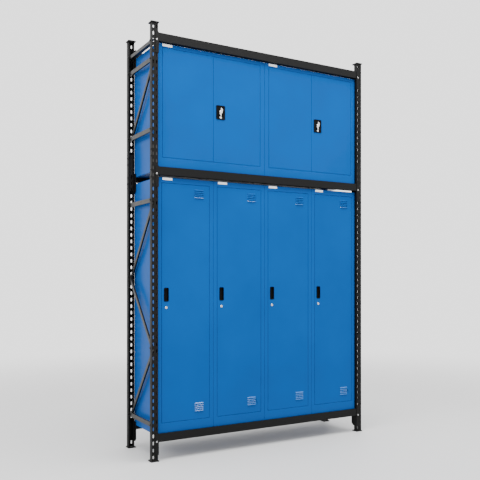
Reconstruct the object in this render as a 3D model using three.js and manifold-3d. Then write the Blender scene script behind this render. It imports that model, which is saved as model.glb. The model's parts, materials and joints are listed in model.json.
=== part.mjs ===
// A storage unit: four tall single-door lockers and two double-door cabinets,
// carried on step beams in a free-standing rack of slotted steel posts.
//
// Millimetres. +X right, +Y back, +Z up. The origin is on the floor, at the middle of the footprint.

import * as THREE from 'three';
import { mergeVertices } from 'three/addons/utils/BufferGeometryUtils.js';
import Module from 'manifold-3d';

const wasm = await Module();
wasm.setup();

// ---------------------------------------------------------------- driving dimensions

const GAP = 0.3;                 // air between neighbouring pieces

const RACK_WIDTH = 1910;         // over the posts' outer flanks
const RACK_DEPTH = 500;          // over the posts' webs
const POST_LENGTH = 3102;
const END_PLATE = { thickness: 8, margin: 6, inside: 18 };     // how far it stands out past the post

const POST = { web: 50, flank: 38, lip: 10, sheet: 2 };
const SLOT = { pitch: 50, first: 32.5, width: 10, height: 26, edge: 12 };
const SPLICE = { z: 2107.5, below: 136, above: 144, sheet: 2, flank: 32 };

const BEAM_LEVELS = { bottom: 136, middle: 2036, top: 2986 };   // undersides of the step beams
const BEAM = { height: 58, depth: 42, step: 20, ledge: 36, sheet: 1.5, bottomLip: 15 };
const CONNECTOR = { sheet: 3, below: 88, above: 62, cover: 23, depth: 66, chamfer: 20 };
const HOOK = { width: 3, reach: 8.3, throat: 4.8, drop: 20, seat: 0.4, crown: 1 };

// Braces are channels in two layers. A layer is the distance from the post's outer flank to the web.
const BRACE = { sheet: 1.5, bolt: 31.5, boltRadius: 4, end: 6 };  // bolt: from the post's outer face
const OUTER_LAYER = 11;
const INNER_LAYER = 24.5;
const TIE = { width: 32, depth: 12 };
const DIAGONAL = { width: 25, depth: 12 };
const TOP_TIE = { width: 25, depth: 28, z: 2987.5 };
const BOLTS = { low: 256, first: 804, second: 1309, middle: 1856, upper: 2361, high: 2861 };

const UNIT_DEPTH = 450;          // lockers and cabinets alike
const UNIT_PITCH = 450.9;        // from one locker to the next
const UNIT_GAP = 0.9;
const CARCASS_SHEET = 1.2;
const DOOR_GAP = 1.5;            // around each door
const FRAME_RETURN = 20;         // depth of the door frame's turned-in edge

const LOCKER = { height: 1850, stile: 33, header: 41, rail: 90 };
const CABINET = { height: 908, stile: 40, header: 29, rail: 93 };
const DOOR = { sheet: 1.2, depth: 18, lip: 10 };

const HAT_SHELF = { below_top: 300, lip: 18, from_front: 30 };
const RAIL = { radius: 8, below_shelf: 45, from_front: 225 };

const LOUVRE = { count: 5, pitch: 13.5, width: 72, height: 5, fromHinge: 85 };
const LOUVRE_GROUPS = [62, 1628]; // lowest louvre of each group, above the door's lower edge

const CUP = { width: 38, height: 100, centre: 36, z: 919, pocket: 14, wall: 1.5, flange: 2, rim: 2.5 };
const CAM_LOCK = { centre: 35, z: 826, head: 11, headDepth: 3, barrel: 9, depth: 20.6 };
const KEYWAY = { width: 1.6, height: 10, depth: 2.5 };
const CAM = { width: 12, length: 46, tail: 8, sheet: 2.4 };

const HANDLE_PLATE = { width: 75, height: 106, centre: 60, z: 380, depth: 2, rim: 10 };
const LEVER = { length: 60, width: 18, taper: 0.35, thickness: 7, rise: 12, bend: 6, shaft: 4, above: 4 };
const CRANK = { length: 40, width: 14, sheet: 3, ahead: 6 };     // ahead: its back to the rods' axis
const KEY_LOCK = { radius: 9, below: 41, depth: 6 };
const ROD = { radius: 4, behind: 30, short: 3, start: 26 };      // short: of the door's edge
const SHELF = { z: 430, fromFront: 45, sheet: 1.2, lip: 25, clear: 3 };

// ---------------------------------------------------------------- materials

const painted = (color, roughness) => new THREE.MeshStandardMaterial({ color, roughness, metalness: 0.25 });
const RACK_PAINT = painted(0x343433, 0.5);
const BRACE_STEEL = painted(0x6f6e6c, 0.4);
const CARCASS_PAINT = painted(0x155a9c, 0.35);
const DOOR_PAINT = painted(0x1a72b4, 0.4);
const BLACK_PLASTIC = new THREE.MeshStandardMaterial({ color: 0x161616, roughness: 0.55, metalness: 0 });
const CHROME = new THREE.MeshStandardMaterial({ color: 0xcfd2d4, roughness: 0.15, metalness: 1 });
const ZINC = new THREE.MeshStandardMaterial({ color: 0xa9adb0, roughness: 0.35, metalness: 1 });

// ---------------------------------------------------------------- solids

function flipFaces(geometry) {
  const index = geometry.index.array;
  for (let i = 0; i < index.length; i += 3) {
    [index[i + 1], index[i + 2]] = [index[i + 2], index[i + 1]];
  }
  return geometry;
}

// A geometry moved by a matrix. A mirroring matrix also turns the faces round again.
function moved(geometry, matrix) {
  const copy = geometry.clone();
  copy.deleteAttribute('normal');
  copy.deleteAttribute('uv');
  const merged = mergeVertices(copy);
  merged.applyMatrix4(matrix);
  return matrix.determinant() < 0 ? flipFaces(merged) : merged;
}

function solid(geometry, matrix = new THREE.Matrix4()) {
  const merged = moved(geometry, matrix);
  return new wasm.Manifold(new wasm.Mesh({
    numProp: 3,
    vertProperties: new Float32Array(merged.attributes.position.array),
    triVerts: new Uint32Array(merged.index.array),
  }));
}

const join = (parts) => parts.reduce((whole, part) => whole.add(part));
const cut = (body, tools) => tools.reduce((rest, tool) => rest.subtract(tool), body);

function geometryOf(body) {
  const { vertProperties, triVerts } = body.getMesh();
  const geometry = new THREE.BufferGeometry();
  geometry.setAttribute('position', new THREE.BufferAttribute(vertProperties, 3));
  geometry.setIndex(new THREE.BufferAttribute(triVerts, 1));
  geometry.computeVertexNormals();
  return geometry;
}

function block(x0, x1, y0, y1, z0, z1) {
  const box = new THREE.BoxGeometry(x1 - x0, y1 - y0, z1 - z0);
  return solid(box.translate((x0 + x1) / 2, (y0 + y1) / 2, (z0 + z1) / 2));
}

// Maps the axes of a drawn outline (u, v) and its extrusion (w) to three directions in space.
function basis(u, v, w, origin = [0, 0, 0]) {
  const matrix = new THREE.Matrix4();
  matrix.makeBasis(new THREE.Vector3(...u), new THREE.Vector3(...v), new THREE.Vector3(...w));
  return matrix.setPosition(...origin);
}

function extruded(outline, length, matrix) {
  const shape = new THREE.Shape(outline.map(([u, v]) => new THREE.Vector2(u, v)));
  return solid(new THREE.ExtrudeGeometry(shape, { depth: length, bevelEnabled: false }), matrix);
}

// A round bar along Y, from y0 to y1.
function disc(radius, x, z, y0, y1, sides = 24) {
  const bar = new THREE.CylinderGeometry(radius, radius, y1 - y0, sides);
  return solid(bar.translate(x, (y0 + y1) / 2, z));
}

// The closed outline of a folded sheet: a path, and the same path set over to its left.
function foldedSheet(path, thickness) {
  const points = path.map(([u, v]) => new THREE.Vector2(u, v));
  const sideways = points.slice(1).map((point, i) => {
    const along = point.clone().sub(points[i]).normalize();
    return new THREE.Vector2(-along.y, along.x);
  });
  const inner = points.map((point, i) => {
    const before = sideways[Math.max(i - 1, 0)];
    const after = sideways[Math.min(i, sideways.length - 1)];
    const middle = before.clone().add(after);
    return middle.multiplyScalar(thickness / (1 + before.dot(after))).add(point);
  });
  return [...points, ...inner.reverse()].map(({ x, y }) => [x, y]);
}

const part = new THREE.Group();

function addPiece(name, body, material, parent = part) {
  const mesh = new THREE.Mesh(geometryOf(body), material);
  mesh.name = name;
  parent.add(mesh);
  return mesh;
}

// ---------------------------------------------------------------- rack: posts and splices

const ENDS = [['front', -1], ['back', 1]];
const SIDES = [['left', -1], ['right', 1]];

// A post is drawn with its outer front corner at the origin, x towards the rack's middle and
// y towards the rack's inside, and is then set in its corner.
function cornerMatrix(side, end) {
  const origin = [side * RACK_WIDTH / 2, end * RACK_DEPTH / 2, 0];
  return basis([-side, 0, 0], [0, -end, 0], [0, 0, 1], origin);
}

const SLOT_COLUMNS = [SLOT.edge, POST.web - SLOT.edge];

function slotHeights(low, high) {
  const heights = [];
  for (let z = SLOT.first; z < high; z += SLOT.pitch) {
    if (z - SLOT.height / 2 > low && z + SLOT.height / 2 < high) {
      heights.push(z);
    }
  }
  return heights;
}

function slotCutters(columns, low, high, depth) {
  const cutters = columns.flatMap((x) => slotHeights(low, high).map((z) => block(
    x - SLOT.width / 2, x + SLOT.width / 2, -1, depth,
    z - SLOT.height / 2, z + SLOT.height / 2,
  )));
  return join(cutters);
}

const POST_SECTION = foldedSheet([
  [POST.lip, POST.flank], [0, POST.flank], [0, 0],
  [POST.web, 0], [POST.web, POST.flank], [POST.web - POST.lip, POST.flank],
], POST.sheet);

function endPlate(z) {
  const { margin, inside, thickness } = END_PLATE;
  return block(-margin, POST.web + margin, -margin, POST.flank + inside, z, z + thickness);
}

function postLength(low, high, plateZ) {
  const section = extruded(POST_SECTION, high - low, basis([1, 0, 0], [0, 1, 0], [0, 0, 1], [0, 0, low]));
  const slotted = section.subtract(slotCutters(SLOT_COLUMNS, low, high, POST.sheet + 1));
  return slotted.add(endPlate(plateZ));
}

const POST_FOOT = END_PLATE.thickness;
const POST_HEAD = POST_FOOT + POST_LENGTH;
const lowerPost = postLength(POST_FOOT, SPLICE.z - GAP / 2, 0);
const upperPost = postLength(SPLICE.z + GAP / 2, POST_HEAD, POST_HEAD);

// The splice is a channel inside both lengths of a post. It is slotted only where beams hook in.
function postSplice() {
  const inset = POST.sheet + GAP;
  const path = [
    [inset, inset + SPLICE.flank], [inset, inset],
    [POST.web - inset, inset], [POST.web - inset, inset + SPLICE.flank],
  ];
  const low = SPLICE.z - SPLICE.below;
  const high = SPLICE.z + SPLICE.above;
  const channel = extruded(
    foldedSheet(path, SPLICE.sheet), high - low, basis([1, 0, 0], [0, 1, 0], [0, 0, 1], [0, 0, low]),
  );
  const hooked = [low - SLOT.height, BEAM_LEVELS.middle + CONNECTOR.above];
  return channel.subtract(slotCutters([POST.web - SLOT.edge], ...hooked, inset + SPLICE.sheet + 1));
}

const splice = postSplice();

for (const [endName, end] of ENDS) {
  for (const [sideName, side] of SIDES) {
    const corner = cornerMatrix(side, end);
    const place = (body) => solid(geometryOf(body), corner);
    addPiece(`post_${endName}_${sideName}_lower`, place(lowerPost), RACK_PAINT);
    addPiece(`post_${endName}_${sideName}_upper`, place(upperPost), RACK_PAINT);
    addPiece(`post_splice_${endName}_${sideName}`, place(splice), RACK_PAINT);
  }
}

// ---------------------------------------------------------------- rack: step beams

// The beam's section, y from its outer face towards the inside and z from its underside.
const BEAM_SECTION = foldedSheet([
  [BEAM.depth - BEAM.bottomLip, 0], [BEAM.depth, 0], [BEAM.depth, BEAM.ledge], [BEAM.step, BEAM.ledge],
  [BEAM.step, BEAM.height], [0, BEAM.height], [0, 0], [BEAM.bottomLip, 0],
], BEAM.sheet);

// An angle on each end of a beam: one leg over the post's web, with two hooks in its slots, and
// one leg along the post's flank. Drawn in the post's own coordinates.
function beamConnector(level) {
  const low = level - CONNECTOR.below;
  const high = level + CONNECTOR.above;
  const { sheet, depth, chamfer, cover } = CONNECTOR;
  const face = POST.web + GAP;
  const webLeg = block(POST.web - cover, face + sheet, -GAP - sheet, -GAP, low, high);
  const flankLeg = extruded([
    [-GAP - sheet, low], [depth - chamfer, low], [depth, low + chamfer], [depth, high], [-GAP - sheet, high],
  ], sheet, basis([0, 1, 0], [0, 0, 1], [1, 0, 0], [face, 0, 0]));
  const slots = slotHeights(low, high);
  const hooks = [slots[0], slots[slots.length - 1]].map((z) => {
    const root = -GAP - sheet / 2;
    const bottom = z - SLOT.height / 2 + HOOK.seat;
    const top = z + HOOK.crown;
    return extruded([
      [root, bottom], [HOOK.throat, bottom], [HOOK.throat, z - HOOK.drop],
      [HOOK.reach, z - HOOK.drop], [HOOK.reach, top], [root, top],
    ], HOOK.width, basis([0, 1, 0], [0, 0, 1], [1, 0, 0], [POST.web - SLOT.edge - HOOK.width / 2, 0, 0]));
  });
  return join([webLeg, flankLeg, ...hooks]);
}

const BEAM_END = POST.web + GAP + CONNECTOR.sheet / 2;   // inside the connector, where it is welded

function stepBeam(level, end) {
  const length = RACK_WIDTH - 2 * BEAM_END;
  const origin = [-length / 2, end * RACK_DEPTH / 2, level];
  const rail = extruded(BEAM_SECTION, length, basis([0, -end, 0], [0, 0, 1], [1, 0, 0], origin));
  const connector = geometryOf(beamConnector(level));
  return join([rail, ...SIDES.map(([, side]) => solid(connector, cornerMatrix(side, end)))]);
}

for (const [endName, end] of ENDS) {
  for (const [levelName, level] of Object.entries(BEAM_LEVELS)) {
    addPiece(`beam_${endName}_${levelName}`, stepBeam(level, end), RACK_PAINT);
  }
}

// ---------------------------------------------------------------- rack: side bracing

const BOLT_Y = RACK_DEPTH / 2 - BRACE.bolt;

function channelSection({ width, depth }) {
  const half = width / 2;
  return foldedSheet([[depth, half], [0, half], [0, -half], [depth, -half]], BRACE.sheet);
}

// A channel from one bolt to another, with its web towards the rack's outside. The ends are
// [front or back, height].
function brace(side, kind, layer, [endA, zA], [endB, zB]) {
  const from = new THREE.Vector2(endA * BOLT_Y, zA);
  const along = new THREE.Vector2(endB * BOLT_Y, zB).sub(from);
  const length = along.length() + 2 * BRACE.end;
  along.normalize();
  const start = from.clone().addScaledVector(along, -BRACE.end);
  const x = side * (RACK_WIDTH / 2 - layer);
  const matrix = basis([-side, 0, 0], [0, -along.y, along.x], [0, along.x, along.y], [x, start.x, start.y]);
  return extruded(channelSection(kind), length, matrix);
}

const tie = (side, z) => brace(side, TIE, OUTER_LAYER, [-1, z], [1, z]);
const innerDiagonal = (side, low, high) => brace(side, DIAGONAL, INNER_LAYER, [1, low], [-1, high]);

// The shank of a bolt that two braces share at one end, as far as it runs between their webs.
function sharedBolt(side, end, z) {
  const length = INNER_LAYER - OUTER_LAYER;
  const shank = new THREE.CylinderGeometry(BRACE.boltRadius, BRACE.boltRadius, length, 16);
  shank.rotateZ(Math.PI / 2);
  const middle = (OUTER_LAYER + INNER_LAYER + BRACE.sheet) / 2;
  return solid(shank.translate(side * (RACK_WIDTH / 2 - middle), end * BOLT_Y, z));
}

// Braces that share a bolt with a tie are one piece with it. The zigzag's second diagonal runs back
// between the other two. It lies in the outer layer and is a piece of its own.
for (const [sideName, side] of SIDES) {
  const lowPair = [
    tie(side, BOLTS.low),
    innerDiagonal(side, BOLTS.low, BOLTS.first),
    sharedBolt(side, 1, BOLTS.low),
  ];
  const highPair = [
    tie(side, BOLTS.middle),
    innerDiagonal(side, BOLTS.second, BOLTS.middle),
    sharedBolt(side, -1, BOLTS.middle),
  ];
  const upperPanel = [
    tie(side, BOLTS.upper),
    innerDiagonal(side, BOLTS.upper, BOLTS.high),
    tie(side, BOLTS.high),
    sharedBolt(side, 1, BOLTS.upper),
    sharedBolt(side, -1, BOLTS.high),
  ];
  const middle = brace(side, DIAGONAL, OUTER_LAYER, [-1, BOLTS.first], [1, BOLTS.second]);
  const topTie = brace(side, TOP_TIE, OUTER_LAYER, [-1, TOP_TIE.z], [1, TOP_TIE.z]);
  addPiece(`brace_${sideName}_low_pair`, join(lowPair), BRACE_STEEL);
  addPiece(`brace_${sideName}_middle_diagonal`, middle, BRACE_STEEL);
  addPiece(`brace_${sideName}_high_pair`, join(highPair), BRACE_STEEL);
  addPiece(`brace_${sideName}_upper_panel`, join(upperPanel), BRACE_STEEL);
  addPiece(`side_tie_${sideName}_top`, topTie, BRACE_STEEL);
}

// ---------------------------------------------------------------- lockers and cabinets: shared shapes

// A carcass is drawn with its lower left front corner at the origin, y towards the back.
function carcass(width, { height, stile, header, rail }) {
  const s = CARCASS_SHEET;
  const shell = cut(block(0, width, 0, UNIT_DEPTH, 0, height), [
    block(s, width - s, s, UNIT_DEPTH - s, s, height - s),
    block(stile - DOOR_GAP, width - stile + DOOR_GAP, -1, s + 1, rail - DOOR_GAP, height - header + DOOR_GAP),
  ]);
  const left = stile - DOOR_GAP;
  const right = width - left;
  const low = rail - DOOR_GAP;
  const high = height - header + DOOR_GAP;
  const turnedEdge = block(left - s, right + s, s / 2, FRAME_RETURN, low - s, high + s)
    .subtract(block(left, right, 0, FRAME_RETURN + 1, low, high));
  return shell.add(turnedEdge);
}

// A door is a shallow tray, open at the back. It is drawn with its lower left front corner at the origin.
function doorPan(width, height) {
  const { sheet, depth, lip } = DOOR;
  return cut(block(0, width, 0, depth, 0, height), [
    block(sheet, width - sheet, sheet, depth - sheet, sheet, height - sheet),
    block(lip, width - lip, depth - 2 * sheet, depth + 1, lip, height - lip),
  ]);
}

// ---------------------------------------------------------------- lockers

const LOCKER_WIDTH = UNIT_PITCH - UNIT_GAP;
const LOCKER_DOOR = {
  width: LOCKER_WIDTH - 2 * LOCKER.stile,
  height: LOCKER.height - LOCKER.header - LOCKER.rail,
};

function lockerBody() {
  const inner = CARCASS_SHEET / 2;
  const shelfZ = LOCKER.height - HAT_SHELF.below_top;
  const shelf = block(
    inner, LOCKER_WIDTH - inner, HAT_SHELF.from_front, UNIT_DEPTH - inner, shelfZ, shelfZ + CARCASS_SHEET,
  );
  const shelfLip = block(
    inner, LOCKER_WIDTH - inner, HAT_SHELF.from_front, HAT_SHELF.from_front + CARCASS_SHEET,
    shelfZ - HAT_SHELF.lip, shelfZ + CARCASS_SHEET,
  );
  const bar = new THREE.CylinderGeometry(RAIL.radius, RAIL.radius, LOCKER_WIDTH - 2 * inner, 16);
  bar.rotateZ(Math.PI / 2);
  bar.translate(LOCKER_WIDTH / 2, RAIL.from_front, shelfZ - RAIL.below_shelf);
  return join([carcass(LOCKER_WIDTH, LOCKER), shelf, shelfLip, solid(bar)]);
}

function lockerDoor() {
  const { width, height } = LOCKER_DOOR;
  const through = DOOR.sheet + 1;
  const louvreMiddle = width - LOUVRE.fromHinge;
  const louvres = LOUVRE_GROUPS.flatMap((z) => Array.from({ length: LOUVRE.count }, (_, i) => block(
    louvreMiddle - LOUVRE.width / 2, louvreMiddle + LOUVRE.width / 2, -1, through,
    z + i * LOUVRE.pitch, z + i * LOUVRE.pitch + LOUVRE.height,
  )));
  const cupHalf = [CUP.width / 2 - CUP.rim + GAP, CUP.height / 2 - CUP.rim + GAP];
  const cupHole = block(
    CUP.centre - cupHalf[0], CUP.centre + cupHalf[0], -1, through, CUP.z - cupHalf[1], CUP.z + cupHalf[1],
  );
  const lockHole = disc(CAM_LOCK.barrel + GAP, CAM_LOCK.centre, CAM_LOCK.z, -1, through);
  return cut(doorPan(width, height), [...louvres, cupHole, lockHole]);
}

// A moulded cup let into the door: a flange on the door's face and a pocket for the fingers.
function cupHandle() {
  const half = CUP.width / 2;
  const tall = CUP.height / 2;
  const { rim, wall, flange, pocket } = CUP;
  const plate = block(-half, half, -GAP - flange, -GAP, -tall, tall);
  const tub = block(-half + rim, half - rim, -GAP - flange / 2, pocket, -tall + rim, tall - rim);
  const inset = rim + wall;
  const hollow = block(
    -half + inset, half - inset, -GAP - flange - 1, pocket - wall, -tall + inset, tall - inset,
  );
  return plate.add(tub).subtract(hollow);
}

// The key cylinder and the cam on its inner end. The cam stands up when the locker is unlocked.
function camLock() {
  const { head, headDepth, barrel, depth } = CAM_LOCK;
  const cam = block(-CAM.width / 2, CAM.width / 2, depth, depth + CAM.sheet, -CAM.tail, CAM.length);
  const face = -GAP - headDepth;
  const keyway = block(
    -KEYWAY.width / 2, KEYWAY.width / 2, face - 1, face + KEYWAY.depth, -KEYWAY.height / 2, KEYWAY.height / 2,
  );
  return join([
    disc(head, 0, 0, face, -GAP),
    disc(barrel, 0, 0, -GAP - headDepth / 2, depth + CAM.sheet / 2),
    cam,
  ]).subtract(keyway);
}

const lockerShapes = { body: lockerBody(), door: lockerDoor(), cup: cupHandle(), lock: camLock() };

const UNITS_LEFT = -2 * UNIT_PITCH + UNIT_GAP / 2;
const UNITS_FRONT = -UNIT_DEPTH / 2;
const unitBase = (level) => level + BEAM.ledge + GAP;

for (let i = 0; i < 4; i += 1) {
  const locker = new THREE.Group();
  locker.position.set(UNITS_LEFT + i * UNIT_PITCH, UNITS_FRONT, unitBase(BEAM_LEVELS.bottom));
  part.add(locker);
  const name = `locker_${i + 1}`;
  addPiece(`${name}_body`, lockerShapes.body, CARCASS_PAINT, locker);

  const leaf = new THREE.Group();
  leaf.position.set(LOCKER.stile, 0, LOCKER.rail);
  locker.add(leaf);
  addPiece(`${name}_door`, lockerShapes.door, DOOR_PAINT, leaf);
  addPiece(`${name}_cup_handle`, lockerShapes.cup, BLACK_PLASTIC, leaf).position.set(CUP.centre, 0, CUP.z);
  addPiece(`${name}_cam_lock`, lockerShapes.lock, CHROME, leaf).position.set(CAM_LOCK.centre, 0, CAM_LOCK.z);
}

// ---------------------------------------------------------------- cabinets

const CABINET_WIDTH = 2 * UNIT_PITCH - UNIT_GAP;
const LEAF = {
  width: (CABINET_WIDTH - 2 * CABINET.stile - DOOR_GAP) / 2,
  height: CABINET.height - CABINET.header - CABINET.rail,
};

// The handle plate frames a recess in which the lever swings, with a key lock below the lever.
// The lever's shaft is the origin of the plate, the lever and the rods.
function handlePlate() {
  const { width, height, depth, rim } = HANDLE_PLATE;
  const low = -height / 2 - LEVER.above;
  const high = height / 2 - LEVER.above;
  const plate = block(-width / 2, width / 2, -GAP - depth, -GAP, low, high);
  const edge = block(-width / 2, width / 2, -GAP - 2 * depth, -GAP - depth / 2, low, high)
    .subtract(block(-width / 2 + rim, width / 2 - rim, -GAP - 2 * depth - 1, 0, low + rim, high - rim));
  const keyLock = disc(KEY_LOCK.radius, 0, -KEY_LOCK.below, -GAP - KEY_LOCK.depth, -GAP - depth / 2);
  return join([plate, edge, keyLock]).subtract(disc(LEVER.shaft + GAP, 0, 0, -GAP - depth - 1, 1));
}

// An S-shaped lever: a bar that leans one way above its shaft and the other way below it.
function swingLever() {
  const half = LEVER.length / 2;
  const w = LEVER.width / 2;
  const b = LEVER.bend;
  const centre = (t) => [b * Math.sin(Math.PI * t), half * t];
  const steps = Array.from({ length: 13 }, (_, i) => -1 + i / 6);
  const width = (t) => w * (1 - LEVER.taper * Math.abs(t));
  const right = steps.map((t) => [centre(t)[0] + width(t), centre(t)[1]]);
  const left = steps.map((t) => [centre(t)[0] - width(t), centre(t)[1]]).reverse();
  const front = -GAP - HANDLE_PLATE.depth - LEVER.rise;
  const grip = extruded(
    [...right, ...left], LEVER.thickness, basis([1, 0, 0], [0, 0, 1], [0, 1, 0], [0, front, 0]),
  );
  const back = ROD.behind - CRANK.ahead;
  const shaft = disc(LEVER.shaft, 0, 0, front + LEVER.thickness / 2, back);
  const crank = block(
    -CRANK.length / 2, CRANK.length / 2, back - CRANK.sheet, back, -CRANK.width / 2, CRANK.width / 2,
  );
  return join([grip, shaft, crank]);
}

function lockRod(low, high) {
  const rod = new THREE.CylinderGeometry(ROD.radius, ROD.radius, high - low, 12);
  rod.rotateX(Math.PI / 2);
  return solid(rod.translate(0, ROD.behind, (low + high) / 2));
}

function leafWith(holes) {
  return cut(doorPan(LEAF.width, LEAF.height), holes);
}

const shaftHole = disc(LEVER.shaft + GAP, HANDLE_PLATE.centre, HANDLE_PLATE.z, -1, DOOR.sheet + 1);

function cabinetShelf() {
  const { sheet, lip, clear, fromFront, z } = SHELF;
  const inner = CARCASS_SHEET + clear;
  const top = block(inner, CABINET_WIDTH - inner, fromFront, UNIT_DEPTH - inner, z, z + sheet);
  const edges = [fromFront, UNIT_DEPTH - inner - sheet].map((y) => block(
    inner, CABINET_WIDTH - inner, y, y + sheet, z - lip, z + sheet,
  ));
  return join([top, ...edges]);
}

const cabinetShapes = {
  body: carcass(CABINET_WIDTH, CABINET),
  leafLeft: leafWith([]),
  leafRight: leafWith([shaftHole]),
  plate: handlePlate(),
  lever: swingLever(),
  rodUp: lockRod(ROD.start, LEAF.height - HANDLE_PLATE.z - ROD.short),
  rodDown: lockRod(ROD.short - HANDLE_PLATE.z, -ROD.start),
  shelf: cabinetShelf(),
};

SIDES.forEach(([sideName], i) => {
  const cabinet = new THREE.Group();
  cabinet.position.set(UNITS_LEFT + i * 2 * UNIT_PITCH, UNITS_FRONT, unitBase(BEAM_LEVELS.middle));
  part.add(cabinet);
  const name = `cabinet_${sideName}`;
  addPiece(`${name}_body`, cabinetShapes.body, CARCASS_PAINT, cabinet);
  addPiece(`${name}_shelf`, cabinetShapes.shelf, CARCASS_PAINT, cabinet);

  const leftLeaf = new THREE.Group();
  leftLeaf.position.set(CABINET.stile, 0, CABINET.rail);
  cabinet.add(leftLeaf);
  addPiece(`${name}_door_left`, cabinetShapes.leafLeft, DOOR_PAINT, leftLeaf);

  const rightLeaf = new THREE.Group();
  rightLeaf.position.set(CABINET.stile + LEAF.width + DOOR_GAP, 0, CABINET.rail);
  cabinet.add(rightLeaf);
  addPiece(`${name}_door_right`, cabinetShapes.leafRight, DOOR_PAINT, rightLeaf);

  const lockset = new THREE.Group();
  lockset.position.set(HANDLE_PLATE.centre, 0, HANDLE_PLATE.z);
  rightLeaf.add(lockset);
  addPiece(`${name}_handle_plate`, cabinetShapes.plate, BLACK_PLASTIC, lockset);
  addPiece(`${name}_swing_lever`, cabinetShapes.lever, CHROME, lockset);
  addPiece(`${name}_rod_up`, cabinetShapes.rodUp, ZINC, lockset);
  addPiece(`${name}_rod_down`, cabinetShapes.rodDown, ZINC, lockset);
});

export default part;
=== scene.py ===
"""Looks of the locker cabinet: steel lockers and cabinets in a rack of slotted posts.

The row frame is +X right, +Y back, +Z up. Shapes are drawn in millimetres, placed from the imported
CAD frame and scaled to metres.
"""

import json
import math

import bmesh
import bpy
from mathutils import Matrix, Vector


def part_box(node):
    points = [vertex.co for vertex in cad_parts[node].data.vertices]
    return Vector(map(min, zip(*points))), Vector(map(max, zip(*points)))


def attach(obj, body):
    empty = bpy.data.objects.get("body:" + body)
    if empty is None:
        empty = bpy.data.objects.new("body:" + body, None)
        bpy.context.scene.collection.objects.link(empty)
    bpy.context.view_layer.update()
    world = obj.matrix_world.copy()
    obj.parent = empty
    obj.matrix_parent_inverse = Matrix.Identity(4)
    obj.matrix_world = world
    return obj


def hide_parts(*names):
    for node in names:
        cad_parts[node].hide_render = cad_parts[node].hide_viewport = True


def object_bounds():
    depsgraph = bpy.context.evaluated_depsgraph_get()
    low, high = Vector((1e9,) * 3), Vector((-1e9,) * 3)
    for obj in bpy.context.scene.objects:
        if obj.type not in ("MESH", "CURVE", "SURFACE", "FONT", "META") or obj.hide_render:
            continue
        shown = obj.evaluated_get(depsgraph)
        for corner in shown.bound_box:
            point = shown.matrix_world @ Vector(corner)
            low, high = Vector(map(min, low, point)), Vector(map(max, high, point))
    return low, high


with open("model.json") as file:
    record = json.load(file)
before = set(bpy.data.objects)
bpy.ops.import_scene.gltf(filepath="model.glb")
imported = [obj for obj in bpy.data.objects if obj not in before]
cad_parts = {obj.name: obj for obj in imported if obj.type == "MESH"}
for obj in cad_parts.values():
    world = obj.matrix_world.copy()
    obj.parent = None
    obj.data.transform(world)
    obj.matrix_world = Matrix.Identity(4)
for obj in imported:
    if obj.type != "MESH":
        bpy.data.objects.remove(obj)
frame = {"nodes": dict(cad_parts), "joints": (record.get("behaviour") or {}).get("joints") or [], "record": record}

CAD_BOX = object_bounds()
MM = 0.001
TOUCH = 0.05           # millimetres between faces that would otherwise lie in one plane
SIDES = (("left", -1), ("right", 1))
ENDS = (("front", -1), ("back", 1))
LOCKERS = tuple(f"locker_{i}" for i in range(1, 5))
CABINETS = tuple(f"cabinet_{side}" for side, _ in SIDES)


def box_mm(node):
    low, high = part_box(node)
    return low / MM, high / MM


def joint_mm(body):
    """Where the joint stands that carries a body."""
    place = next(joint["pos_m"] for joint in frame["joints"] if joint["child"] == body)
    return [value / MM for value in place]


# ------------------------------------------------------------------ camera and studio

# A level camera in front and to the left of the row, its lens shifted up to take in the full height.
CAMERA = {"place": (-2.774, -4.629, 1.316), "turn": -30.1, "shift": 0.0748, "lens": 50, "sensor": 36}
FAR_CLIP = 100
# Name, place, point aimed at, size and power in watts.
LIGHTS = (
    ("key", (-6.5, -1.5, 5.5), (-0.9, 0, 2.4), (4.0, 3.0), 330),
    ("top", (0.0, -1.5, 6.5), (0, 0, 1.0), (6.0, 4.0), 950),
)
BACKDROP = (1.0, 1.0, 1.0, 1)
BACKDROP_STRENGTH = 2.1
FLOOR = {"radius": 40, "sides": 128, "grey": 0.42, "roughness": 0.6, "fade_from": 2.5, "fade_to": 7.0}


def make_camera():
    """The main camera."""
    data = bpy.data.cameras.new("camera")
    data.lens = CAMERA["lens"]
    data.sensor_width = CAMERA["sensor"]
    data.shift_y = CAMERA["shift"]
    data.clip_end = FAR_CLIP
    camera = bpy.data.objects.new("camera", data)
    camera.location = CAMERA["place"]
    camera.rotation_euler = (math.radians(90), 0, math.radians(CAMERA["turn"]))
    bpy.context.scene.collection.objects.link(camera)
    bpy.context.scene.camera = camera


def area_light(name, location, target, size, power):
    """A rectangular soft light, aimed at a point."""
    data = bpy.data.lights.new(name, "AREA")
    data.shape = "RECTANGLE"
    data.size, data.size_y = size
    data.energy = power
    light = bpy.data.objects.new(name, data)
    light.location = location
    light.rotation_euler = (Vector(target) - Vector(location)).to_track_quat("-Z", "Y").to_euler()
    bpy.context.scene.collection.objects.link(light)


def make_world():
    """An even pale surround."""
    world = bpy.data.worlds.new("studio")
    world.use_nodes = True
    bpy.context.scene.world = world
    background = world.node_tree.nodes["Background"]
    background.inputs["Color"].default_value = BACKDROP
    background.inputs["Strength"].default_value = BACKDROP_STRENGTH


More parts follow.
